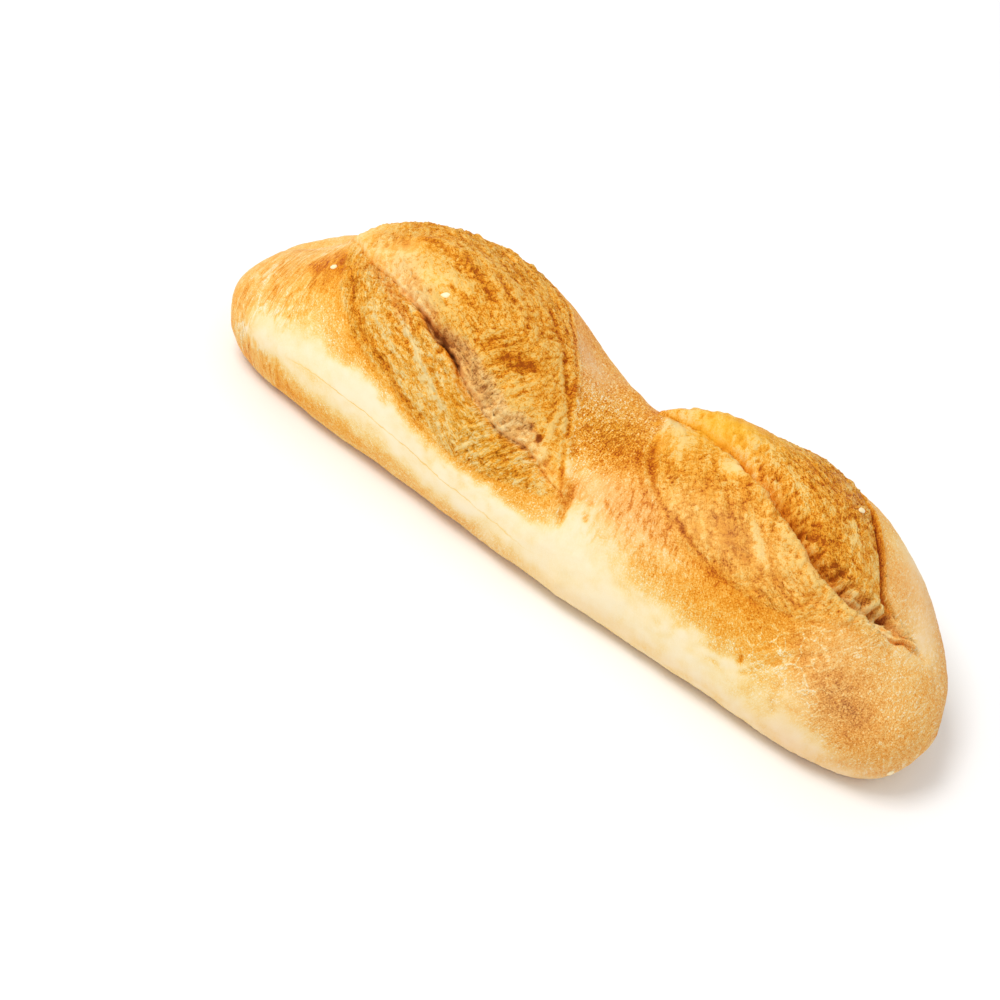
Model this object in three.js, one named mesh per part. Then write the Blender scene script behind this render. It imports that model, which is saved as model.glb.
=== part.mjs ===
// A mini baguette: one short loaf of white wheat bread, baked on a flat tray.
// The dough was cut twice on top, each cut slanting from the far side towards the near side.
// Both cuts burst open in the oven, so the loaf has two swollen bulges with a waist between them.
//
// X runs along the loaf, Y across it (the near side is -Y) and Z up. The origin is the middle
// of the base. All lengths are in millimetres and all angles in degrees.

import * as THREE from "three";

// Overall size of the loaf.
const LENGTH = 220;
const HALF_LENGTH = LENGTH / 2;

// The near flank is nearly straight and draws in a little towards the right end.
const NEAR_FLANK = 34.75;
const NEAR_FLANK_DRAW_IN = 5;

// The far flank stands out at the two bulges and draws in at the waist.
const FAR_FLANK = 25.25;
const FAR_WAIST_DRAW_IN = 3.5;
const FAR_WAIST_REACH = 26;

// The crown is level at the ends and the waist, and rises over the two bulges.
const CROWN_HEIGHT = 37;
const BULGES = [
  { middle: -51, reach: 51, rise: 14.5, spread: 7.5 },
  { middle: 49, reach: 49, rise: 13, spread: 9.5 },
];
const BULGE_FULLNESS = 0.7;

// The two tips sit to the near side of the middle, at the height where the loaf is widest.
const TIP_OFFSET = -8.75;
const WIDEST_HEIGHT = 17;

// How far before each tip a face starts to round off, and how blunt that rounding is.
const NEAR_ROUNDING = { left: 26, right: 31, bluntness: 2.2 };
const FAR_ROUNDING = { left: 54, right: 40, bluntness: 2.1 };
const CROWN_ROUNDING = { left: 54, right: 42, bluntness: 2 };
const BASE_ROUNDING = { left: 11, right: 11, bluntness: 2 };

// The section: a full arch over a flat base with rounded lower edges.
const ARCH_FULLNESS = 2.15;
const LOWER_EDGE_WIDTH = 9;

// The two opened cuts. Each point is [place along X, angle round the loaf], where the angle runs
// from 0 on the near flank over 90 on the crown to 180 on the far flank. The torn crumb lies
// between the near rim and the far rim, and the groove is where it parted last.
const CUTS = [
  {
    nearRim: [[-90, 103], [-73, 48], [-46, 22], [-20, 18], [6, 42]],
    groove: [[-90, 103], [-76, 78], [-48, 56], [-20, 44], [6, 42]],
    farRim: [[-90, 103], [-68, 136], [-42, 138], [-22, 112], [6, 42]],
    grooveDepth: 4,
    nearSwell: 1,
    domeRise: 3.5,
  },
  {
    nearRim: [[6, 120], [24, 62], [42, 41], [71, 47], [96, 98]],
    groove: [[6, 120], [34, 94], [53, 76], [74, 68], [96, 98]],
    farRim: [[6, 120], [32, 142], [56, 136], [76, 104], [96, 98]],
    grooveDepth: 5.5,
    nearSwell: 1,
    domeRise: 5,
  },
];

// How suddenly a cut reaches its full relief after its ends, how steeply its two sides fall
// into the groove, and the least angle that each side spans.
const CUT_BLUNTNESS = 0.4;
const GROOVE_STEEPNESS = 6;
const LEAST_LIP_ANGLE = 5;

// How finely the surface is divided. Over the arch, one line of points follows each groove: the
// steps are those from the near flank to the left cut's groove, on to the right cut's, and on
// to the far flank.
const STATIONS = 84;
const ARCH_STEPS = [12, 10, 12];
const LOWER_EDGE_STEPS = 5;
const BASE_STEPS = 6;
const EVEN_SPACING_SHARE = 0.55;

const CRUST = { color: 0xe3a556, roughness: 0.62, metalness: 0 };

// A smooth hump: 1 at its middle, falling to 0 at its reach on both sides.
function hump(x, middle, reach) {
  const away = Math.min(Math.abs(x - middle) / reach, 1);
  return (1 + Math.cos(Math.PI * away)) / 2;
}

// A smooth curve through points whose first numbers increase.
function curveThrough(points, x) {
  const last = points.length - 1;
  const slopeAt = (i) => {
    const before = points[Math.max(i - 1, 0)];
    const after = points[Math.min(i + 1, last)];
    return (after[1] - before[1]) / (after[0] - before[0]);
  };
  let i = 0;
  while (i < last - 1 && x > points[i + 1][0]) {
    i += 1;
  }
  const width = points[i + 1][0] - points[i][0];
  const t = THREE.MathUtils.clamp((x - points[i][0]) / width, 0, 1);
  const rest = 1 - t;
  const start = points[i][1] * (1 + 2 * t) + slopeAt(i) * width * t;
  const end = points[i + 1][1] * (3 - 2 * t) - slopeAt(i + 1) * width * rest;
  return start * rest * rest + end * t * t;
}

// How much of its full size a face keeps at x: 1 along the loaf, falling to 0 at the tips.
function endRounding(x, rounding) {
  const length = x < 0 ? rounding.left : rounding.right;
  const inward = THREE.MathUtils.clamp((HALF_LENGTH - Math.abs(x)) / length, 0, 1);
  return (1 - (1 - inward) ** rounding.bluntness) ** (1 / rounding.bluntness);
}

// The size of the section at x: where its middle is, how far it reaches to each side,
// and the heights of its crown and its base.
function sectionAt(x) {
  const alongRight = THREE.MathUtils.clamp(x / HALF_LENGTH, 0, 1);
  const near = NEAR_FLANK - NEAR_FLANK_DRAW_IN * alongRight;
  let far = FAR_FLANK - FAR_WAIST_DRAW_IN * hump(x, 0, FAR_WAIST_REACH);
  let crown = CROWN_HEIGHT;
  for (const bulge of BULGES) {
    const swell = hump(x, bulge.middle, bulge.reach) ** BULGE_FULLNESS;
    far += bulge.spread * swell;
    crown += bulge.rise * swell;
  }
  const nearY = TIP_OFFSET - (near + TIP_OFFSET) * endRounding(x, NEAR_ROUNDING);
  const farY = TIP_OFFSET + (far - TIP_OFFSET) * endRounding(x, FAR_ROUNDING);
  return {
    middle: (nearY + farY) / 2,
    halfWidth: (farY - nearY) / 2,
    crown: WIDEST_HEIGHT + (crown - WIDEST_HEIGHT) * endRounding(x, CROWN_ROUNDING),
    base: WIDEST_HEIGHT * (1 - endRounding(x, BASE_ROUNDING)),
  };
}

// How far the crust stands out at x and at an angle round the loaf, because of one cut.
function cutRelief(cut, x, angle) {
  const start = cut.groove[0][0];
  const end = cut.groove[cut.groove.length - 1][0];
  if (x <= start || x >= end) {
    return 0;
  }
  const openness = Math.sin((Math.PI * (x - start)) / (end - start)) ** CUT_BLUNTNESS;
  const groove = curveThrough(cut.groove, x);
  const near = Math.min(curveThrough(cut.nearRim, x), groove - LEAST_LIP_ANGLE);
  const far = Math.max(curveThrough(cut.farRim, x), groove + LEAST_LIP_ANGLE);
  if (angle <= near || angle >= far) {
    return 0;
  }
  if (angle < groove) {
    const t = (angle - near) / (groove - near);
    return openness * (cut.nearSwell * Math.sin(Math.PI * t) - cut.grooveDepth * t ** GROOVE_STEEPNESS);
  }
  const t = (angle - groove) / (far - groove);
  const dome = cut.domeRise * Math.sin(Math.PI * Math.sqrt(t));
  return openness * (dome - cut.grooveDepth * (1 - t) ** GROOVE_STEEPNESS);
}

// The angles of one section's arch points, closing up or spreading out to follow the grooves.
function archAngles(x) {
  const stops = [0, ...CUTS.map((cut) => curveThrough(cut.groove, x)), 180];
  const angles = [0];
  ARCH_STEPS.forEach((steps, part) => {
    const width = stops[part + 1] - stops[part];
    for (let i = 1; i <= steps; i += 1) {
      angles.push(stops[part] + (width * i) / steps);
    }
  });
  return angles;
}

// The points of one section, from the near flank over the crown and back under the base.
function sectionPoints(x) {
  const size = sectionAt(x);
  const edgeWidth = Math.min(LOWER_EDGE_WIDTH, size.halfWidth / 2);
  const points = [];
  for (const angle of archAngles(x)) {
    const across = -Math.cos(THREE.MathUtils.degToRad(angle));
    const up = Math.sin(THREE.MathUtils.degToRad(angle));
    const y = Math.sign(across) * Math.abs(across) ** (2 / ARCH_FULLNESS);
    const z = up ** (2 / ARCH_FULLNESS);
    const relief = CUTS.reduce((sum, cut) => sum + cutRelief(cut, x, angle), 0);
    points.push([
      size.middle + y * size.halfWidth + across * relief,
      WIDEST_HEIGHT + z * (size.crown - WIDEST_HEIGHT) + up * relief,
    ]);
  }
  const edgePoint = (side, i) => {
    const turn = (Math.PI / 2) * (i / LOWER_EDGE_STEPS);
    return [
      size.middle + side * (size.halfWidth - edgeWidth * (1 - Math.cos(turn))),
      WIDEST_HEIGHT - (WIDEST_HEIGHT - size.base) * Math.sin(turn),
    ];
  };
  for (let i = 1; i <= LOWER_EDGE_STEPS; i += 1) {
    points.push(edgePoint(1, i));
  }
  const baseHalfWidth = size.halfWidth - edgeWidth;
  for (let i = 1; i < BASE_STEPS; i += 1) {
    points.push([size.middle + baseHalfWidth * (1 - (2 * i) / BASE_STEPS), size.base]);
  }
  for (let i = LOWER_EDGE_STEPS; i >= 1; i -= 1) {
    points.push(edgePoint(-1, i));
  }
  return points;
}

// The places of the sections along X, closer together towards the tips.
function stations() {
  const places = [];
  for (let i = 1; i < STATIONS; i += 1) {
    const t = (2 * i) / STATIONS - 1;
    const bunched = Math.sin((Math.PI / 2) * t);
    places.push(HALF_LENGTH * (EVEN_SPACING_SHARE * t + (1 - EVEN_SPACING_SHARE) * bunched));
  }
  return places;
}

// The loaf's whole surface: rings of section points, closed by a fan at each tip.
function loafGeometry() {
  const rings = stations().map((x) => sectionPoints(x).map(([y, z]) => [x, y, z]));
  const tips = [-HALF_LENGTH, HALF_LENGTH].map((x) => [x, TIP_OFFSET, WIDEST_HEIGHT]);
  const around = rings[0].length;
  const lastRing = (rings.length - 1) * around;
  const leftTip = rings.length * around;
  const rightTip = leftTip + 1;
  const triangles = [];
  for (let j = 0; j < around; j += 1) {
    const next = (j + 1) % around;
    for (let here = 0; here < lastRing; here += around) {
      const beyond = here + around;
      triangles.push(here + j, beyond + next, here + next);
      triangles.push(here + j, beyond + j, beyond + next);
    }
    triangles.push(leftTip, j, next);
    triangles.push(rightTip, lastRing + next, lastRing + j);
  }
  const positions = [...rings.flat(), ...tips].flat();
  const geometry = new THREE.BufferGeometry();
  geometry.setAttribute("position", new THREE.Float32BufferAttribute(positions, 3));
  geometry.setIndex(triangles);
  geometry.computeVertexNormals();
  return geometry;
}

function loaf() {
  const mesh = new THREE.Mesh(loafGeometry(), new THREE.MeshStandardMaterial(CRUST));
  mesh.name = "loaf";
  return mesh;
}

const miniBaguette = new THREE.Group();
miniBaguette.add(loaf());

export default miniBaguette;
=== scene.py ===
from math import cos, pi, radians, sin

import bmesh
import bpy
import numpy as np
from mathutils import Matrix, Vector, noise


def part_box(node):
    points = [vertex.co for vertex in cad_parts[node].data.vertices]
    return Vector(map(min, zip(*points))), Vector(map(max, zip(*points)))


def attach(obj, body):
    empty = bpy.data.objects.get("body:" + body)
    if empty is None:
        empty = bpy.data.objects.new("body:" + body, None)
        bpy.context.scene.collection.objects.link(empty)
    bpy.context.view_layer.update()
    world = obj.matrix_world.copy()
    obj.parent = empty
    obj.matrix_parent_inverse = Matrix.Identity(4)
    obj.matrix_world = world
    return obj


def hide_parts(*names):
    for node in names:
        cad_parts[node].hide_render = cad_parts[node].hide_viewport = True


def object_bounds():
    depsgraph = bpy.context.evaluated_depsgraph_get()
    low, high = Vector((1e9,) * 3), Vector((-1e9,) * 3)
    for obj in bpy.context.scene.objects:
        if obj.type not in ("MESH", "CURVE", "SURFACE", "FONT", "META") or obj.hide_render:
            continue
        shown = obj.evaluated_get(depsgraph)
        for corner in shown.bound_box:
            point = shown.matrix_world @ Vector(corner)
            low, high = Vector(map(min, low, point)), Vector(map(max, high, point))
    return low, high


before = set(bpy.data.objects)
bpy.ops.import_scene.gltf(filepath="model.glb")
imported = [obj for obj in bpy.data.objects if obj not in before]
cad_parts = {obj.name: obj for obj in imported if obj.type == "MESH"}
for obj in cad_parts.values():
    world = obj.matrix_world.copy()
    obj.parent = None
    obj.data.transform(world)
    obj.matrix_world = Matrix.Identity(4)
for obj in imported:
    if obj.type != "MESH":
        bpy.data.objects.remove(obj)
cad_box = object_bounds()

# ------------------------------------------------
# The loaf: one piece of white wheat dough. A sheet of dough is rolled up, its long edges are
# pinched together underneath, and it is proved and baked on a flat tray. Before baking it is cut
# twice on top, and in the oven both cuts burst open into rough swollen crumb.

# Lengths in this section are in millimetres, angles in degrees round the loaf: 0 on the near
# flank, 90 on the crown and 180 on the far flank.
MM = 0.001
low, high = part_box("loaf")
HALF_LENGTH = high.x / MM
NEAR_FLANK = -low.y / MM
NEAR_FLANK_DRAW_IN = 5
FAR_FLANK = 25.25
FAR_WAIST_DRAW_IN = 3.5
FAR_WAIST_REACH = 26
CROWN_HEIGHT = 37
BULGES = [
    {"middle": -51, "reach": 51, "rise": 14.5, "spread": 7.5},
    {"middle": 49, "reach": 49, "rise": 13, "spread": 9.5},
]
BULGE_FULLNESS = 0.7
TIP_OFFSET = -8.75
WIDEST_HEIGHT = 17
NEAR_ROUNDING = {"left": 26, "right": 31, "bluntness": 2.2}
FAR_ROUNDING = {"left": 54, "right": 40, "bluntness": 2.1}
CROWN_ROUNDING = {"left": 54, "right": 42, "bluntness": 2}
BASE_ROUNDING = {"left": 11, "right": 11, "bluntness": 2}
ARCH_FULLNESS = 2.15
LOWER_EDGE_WIDTH = 9
UNDERSIDE_TURN = 26
GROOVE_WANDER = 0.6
GROOVE_TO_LIP = 7

# The two cuts, each line given as (place along the loaf, angle or amount). Torn crumb lies between
# the near and the far rim, and parted last in the groove. The wall is as wide as the groove's near
# side and the width as its far side, of which the floor is the flat share. The lip on the wall has
# a height and an overhang, and the ridge on the far rim begins and is full at two places.
LEFT_CUT = {
    "near_rim": [(-90, 103), (-73, 48), (-46, 22), (-20, 18), (6, 42)],
    "groove": [(-90, 103), (-76, 79), (-48, 56), (-34, 49), (-20, 45), (-8, 50), (6, 42)],
    "far_rim": [(-90, 103), (-68, 136), (-42, 138), (-22, 112), (-8, 84), (6, 42)],
    "depth": [
        (-90, 0), (-80, 0.8), (-66, 1.8), (-56, 3.2), (-50, 5), (-40, 4.6), (-34, 2.6), (-26, 1.9),
        (-14, 1.7), (-6, 0.7), (6, 0),
    ],
    "wall": [(-90, 4), (-62, 4), (-54, 1.6), (-39, 1.6), (-34, 3.2), (-24, 3.8), (6, 3.6)],
    "floor": [(-90, 0), (-52, 0), (-40, 0.45), (-20, 0.5), (6, 0.3)],
    "pale": [(-90, 0.2), (-66, 0.7), (-58, 0.9), (-50, 0.8), (-42, 1), (-12, 1.2), (6, 0.4)],
    "width": [(-90, 3), (-72, 12), (-60, 8), (-50, 5), (-38, 6.5), (-22, 7), (-10, 5), (6, 2)],
    "lip": (0.7, 0.9),
    "jag": 0.9,
    "dome_rise": 3.5,
    "ridge": (-46, -20),
}
RIGHT_CUT = {
    "near_rim": [(6, 120), (24, 62), (42, 41), (71, 47), (96, 98)],
    "groove": [(6, 120), (34, 94), (53, 77), (66, 70), (78, 71), (88, 82), (96, 98)],
    "far_rim": [(6, 120), (32, 142), (56, 136), (66, 121), (76, 104), (84, 92), (96, 98)],
    "depth": [(6, 0), (18, 0.8), (30, 1.8), (42, 4), (56, 6.4), (70, 7), (80, 6.4), (88, 4.8), (96, 0)],
    "width": [(6, 2), (30, 4.5), (50, 5), (70, 5), (82, 5), (90, 4), (96, 2)],
    "wall": [(6, 3), (40, 2), (56, 1.2), (96, 1.2)],
    "floor": [(6, 0), (78, 0), (84, 0.5), (96, 0.5)],
    "pale": [(6, 0), (40, 0.05), (70, 0.1), (84, 0.5), (96, 0.5)],
    "lip": (1.3, 1.9),
    "jag": 1.35,
    "dome_rise": 5.0,
    "ridge": (60, 80),
}
CUTS = [LEFT_CUT, RIGHT_CUT]
LEAST_BAND = 4
LEAST_DOME = 5
BAND_SWELL = 1.0
FOOT_BROWN = 0.12
FAR_LIP = [(-110, 150), (30, 150), (56, 136), (66, 121), (76, 104), (84, 93), (96, 99), (110, 104)]

# The sheet of dough, in squares: along the loaf, and round it from the seam under the base.
ALONG = 92
BASE_LINES = 3
EDGE_LINES = 5
ARCH_LINES = [14, 12, 10, 8]
ARCH_GATHERING = 0.55
AROUND = 2 * BASE_LINES + 2 * EDGE_LINES + sum(ARCH_LINES)
SHEET_REACH = 0.997
SHEET_GATHERING = 0.45
TIP_FULLNESS = 0.3
TOUCHING = 0.01
SMOOTHING_LEVELS = 2


def clamp(value, least=0.0, most=1.0):
    return np.minimum(np.maximum(value, least), most)


def ease(value, start, end):
    """0 before start, 1 after end, and a smooth step between them."""
    t = clamp((value - start) / (end - start))
    return t * t * (3 - 2 * t)


def bell(value, width):
    return np.exp(-((value / width) ** 2))


def hump(x, middle, reach):
    return (1 + np.cos(pi * clamp(abs(x - middle) / reach))) / 2


def curve_through(points, x):
    """A smooth curve through points whose first numbers increase, level beyond both ends."""
    at, value = np.array(points, float).T
    slope = np.gradient(value)
    slope[1:-1] = (value[2:] - value[:-2]) / (at[2:] - at[:-2])
    slope[[0, -1]] = (value[[1, -1]] - value[[0, -2]]) / (at[[1, -1]] - at[[0, -2]])
    i = np.clip(np.searchsorted(at, x) - 1, 0, len(at) - 2)
    width = at[i + 1] - at[i]
    t = clamp((x - at[i]) / width)
    rest = 1 - t
    start = value[i] * (1 + 2 * t) + slope[i] * width * t
    end = value[i + 1] * (3 - 2 * t) - slope[i + 1] * width * rest
    return start * rest * rest + end * t * t


def end_rounding(x, rounding):
    length = np.where(x < 0, rounding["left"], rounding["right"])
    inward = clamp((HALF_LENGTH - abs(x)) / length)
    return (1 - (1 - inward) ** rounding["bluntness"]) ** (1 / rounding["bluntness"])


def section_at(x):
    """Where the middle of the section at x is, its half width, and the heights of crown and base."""
    near = NEAR_FLANK - NEAR_FLANK_DRAW_IN * clamp(x / HALF_LENGTH)
    far = FAR_FLANK - FAR_WAIST_DRAW_IN * hump(x, 0, FAR_WAIST_REACH)
    crown = CROWN_HEIGHT
    for bulge in BULGES:
        swell = hump(x, bulge["middle"], bulge["reach"]) ** BULGE_FULLNESS
        far = far + bulge["spread"] * swell
        crown = crown + bulge["rise"] * swell
    near_y = TIP_OFFSET - (near + TIP_OFFSET) * end_rounding(x, NEAR_ROUNDING)
    far_y = TIP_OFFSET + (far - TIP_OFFSET) * end_rounding(x, FAR_ROUNDING)
    return {
        "middle": (near_y + far_y) / 2,
        "half_width": (far_y - near_y) / 2,
        "crown": WIDEST_HEIGHT + (crown - WIDEST_HEIGHT) * end_rounding(x, CROWN_ROUNDING),
        "base": WIDEST_HEIGHT * (1 - end_rounding(x, BASE_ROUNDING)),
    }


def groove_at(cut, x):
    """The angle of a cut's groove at x. The tear wanders a little."""
    start, end = cut["groove"][0][0], cut["groove"][-1][0]
    inside = np.sin(pi * clamp((x - start) / (end - start)))
    wander = np.sin(x / 4.1 + start) + np.sin(x / 2.3)
    return curve_through(cut["groove"], x) + GROOVE_WANDER * inside * wander


def lip_at(x):
    return np.maximum(curve_through(FAR_LIP, x), groove_at(RIGHT_CUT, x) + GROOVE_TO_LIP)


def gathered(part, t):
    """The share t of one part of the arch, drawn towards the grooves and the far lip."""
    if part == 0:
        return sin(pi / 2 * t)
    if part == len(ARCH_LINES) - 1:
        return 1 - cos(pi / 2 * t)
    return (1 - cos(pi * t)) / 2


def arch_angles(x):
    """Lines of points from the near to the far flank, gathered along both grooves and the far lip."""
    stops = [0, groove_at(LEFT_CUT, x), groove_at(RIGHT_CUT, x), lip_at(x), 180]
    angles = [0.0]
    for part, lines in enumerate(ARCH_LINES):
        for i in range(1, lines + 1):
            t = i / lines
            share = (1 - ARCH_GATHERING) * t + ARCH_GATHERING * gathered(part, t)
            angles.append(stops[part] + (stops[part + 1] - stops[part]) * share)
    return angles


def section_points(x):
    """The points of the section at x, from the seam over the near flank, crown and far flank back."""
    size = section_at(x)
    edge_width = min(LOWER_EDGE_WIDTH, size["half_width"] / 2)
    base_half = size["half_width"] - edge_width
    near_base = [(size["middle"] - base_half * i / BASE_LINES, size["base"]) for i in range(BASE_LINES)]
    near_edge = []
    for i in range(EDGE_LINES):
        turn = pi / 2 * (1 - i / EDGE_LINES)
        near_edge.append((
            size["middle"] - size["half_width"] + edge_width * (1 - cos(turn)),
            WIDEST_HEIGHT - (WIDEST_HEIGHT - size["base"]) * sin(turn),
        ))
    arch = []
    for angle in arch_angles(x):
        across, up = -cos(radians(angle)), max(sin(radians(angle)), 0)
        y = (1 if across > 0 else -1) * abs(across) ** (2 / ARCH_FULLNESS)
        z = up ** (2 / ARCH_FULLNESS)
        arch.append((
            size["middle"] + y * size["half_width"],
            WIDEST_HEIGHT + z * (size["crown"] - WIDEST_HEIGHT),
        ))
    mirrored = [(2 * size["middle"] - y, z) for y, z in reversed(near_base + near_edge)]
    return near_base + near_edge + arch + mirrored


def station(share):
    """The place along the loaf of a share of the sheet's length, closer together at the tips."""
    t = SHEET_REACH * (2 * share - 1)
    return HALF_LENGTH * ((1 - SHEET_GATHERING) * t + SHEET_GATHERING * sin(pi / 2 * t))


def select_only(piece):
    bpy.ops.object.select_all(action="DESELECT")
    piece.select_set(True)
    bpy.context.view_layer.objects.active = piece


bpy.ops.object.select_all(action="DESELECT")
bpy.ops.mesh.primitive_grid_add(x_subdivisions=ALONG, y_subdivisions=AROUND, size=1)
loaf = bpy.context.object
loaf.name = "loaf_crust"
sections = {}
for point in loaf.data.vertices:
    along = round((point.co.x + 0.5) * ALONG)
    around = round((point.co.y + 0.5) * AROUND)
    if along not in sections:
        sections[along] = section_points(station(along / ALONG))
    y, z = sections[along][around]
    point.co = Vector((station(along / ALONG), y, z)) * MM

# The long edges are pinched together in the seam, and both tips closed.
bpy.ops.object.mode_set(mode="EDIT")
bpy.ops.mesh.select_all(action="SELECT")
bpy.ops.mesh.remove_doubles(threshold=TOUCHING * MM)
for side in (-1, 1):
    tip_x = station(0.5 + side / 2) * MM
    bpy.ops.mesh.select_mode(type="VERT")
    bpy.ops.mesh.select_all(action="DESELECT")
    shape = bmesh.from_edit_mesh(loaf.data)
    for point in shape.verts:
        point.select = abs(point.co.x - tip_x) < TOUCHING * MM
    shape.select_flush(True)
    bpy.ops.mesh.fill_grid(span=AROUND // 4)
    bpy.ops.mesh.vertices_smooth(factor=0.5, repeat=2)
    shape = bmesh.from_edit_mesh(loaf.data)
    for point in shape.verts:
        if point.select and not any(edge.is_boundary for edge in point.link_edges):
            edge_ring = any(not other.select for edge in point.link_edges for other in edge.verts)
            if not edge_ring:
                point.co.x = tip_x + side * TIP_FULLNESS * MM
    bmesh.update_edit_mesh(loaf.data)
bpy.ops.mesh.select_all(action="SELECT")
bpy.ops.mesh.normals_make_consistent(inside=False)
bpy.ops.object.mode_set(mode="OBJECT")

rising = loaf.modifiers.new("rising", "SUBSURF")
rising.levels = SMOOTHING_LEVELS
rising.render_levels = SMOOTHING_LEVELS
select_only(loaf)
bpy.ops.object.modifier_apply(modifier=rising.name)

# Every point of the smooth dough: its place, the way it faces, and its angle round the loaf.
numbers = np.empty(3 * len(loaf.data.vertices))
loaf.data.vertices.foreach_get("co", numbers)
places = numbers.reshape(-1, 3) / MM
loaf.data.vertices.foreach_get("normal", numbers)
outward = numbers.reshape(-1, 3).copy()
spots = [Vector(place) for place in places]
x, y, z = places.T
size = section_at(x)
across = (y - size["middle"]) / np.maximum(size["half_width"], 0.01)
up = (z - WIDEST_HEIGHT) / np.maximum(size["crown"] - WIDEST_HEIGHT, 0.01)
turned = np.sign(across) * abs(across) ** (ARCH_FULLNESS / 2)
over = np.degrees(np.arctan2(np.maximum(up, 0) ** (ARCH_FULLNESS / 2), -turned))
under = (WIDEST_HEIGHT - z) / WIDEST_HEIGHT * UNDERSIDE_TURN
angle = np.where(up > 0, over, np.where(across < 0, -under, 180 + under))
per_degree = np.radians((size["half_width"] + size["crown"] - WIDEST_HEIGHT) / 2)
girth = angle * per_degree


def grain(size, seed):
    """Smooth unevenness of the given size in mm, between about -1 and 1."""
    shift = Vector((seed, 0.37 * seed, -seed))
    return np.array([noise.noise(spot / size + shift) for spot in spots])


def drawn_grain(along, round_it, seed):
    """Unevenness over the skin itself, drawn out as far as its two places are squeezed."""
    return np.array([noise.noise(Vector((a, b, seed))) for a, b in zip(along, round_it)])


def open_crumb(along, round_it, seed):
    """Bubbles: 0 in the middle of each, 1 on the walls between them."""
    gaps = []
    for a, b in zip(along, round_it):
        near, beyond = noise.voronoi(Vector((a, b, seed)))[0][:2]
        gaps.append(beyond - near)
    return 1 - clamp(np.array(gaps) / 0.5)


def off_line(line):
    """How far each point is from a line round the loaf, square to it: positive on its far side."""
    at = line(x)
    slope = (line(x + 0.5) - line(x - 0.5)) * per_degree
    return (angle - at) * per_degree / np.sqrt(1 + slope * slope)


def stroke(line, width):
    """1 on a drawn line of [place, angle] points, fading away at its sides and at both ends."""
    nearest = np.full(len(x), 99.0)
    along = np.zeros(len(x))
    last = len(line) - 1
    for i, ((start_x, start_angle), (end_x, end_angle)) in enumerate(zip(line, line[1:])):
        step_x, step_round = end_x - start_x, (end_angle - start_angle) * per_degree
        off_x, off_round = x - start_x, (angle - start_angle) * per_degree
        t = clamp((off_x * step_x + off_round * step_round) / (step_x**2 + step_round**2))
        away = np.hypot(off_x - t * step_x, off_round - t * step_round)
        along = np.where(away < nearest, (i + t) / last, along)
        nearest = np.minimum(nearest, away)
    taper = np.minimum(1, 5 * np.minimum(along, 1 - along) + 0.25)
    return taper * bell(nearest + 0.5 * width * ragged, width)


def spot_at(place, turn, reach, reach_turn):
    return np.exp(-((x - place) / reach) ** 2 - ((angle - turn) / reach_turn) ** 2)


def spread(table):
    """Soft spots added up, each given as place, angle, reach along, reach round and amount."""
    return sum(amount * spot_at(*where) for *where, amount in table)


# The tears are ragged: this shifts every edge and line to and fro.
ragged = 0.9 * grain(4.2, 4) + 0.8 * grain(1.6, 9) + 0.4 * grain(0.9, 14)
lumps, knobs, pits = grain(4.6, 3), grain(2.1, 5), grain(1.05, 6)

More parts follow.
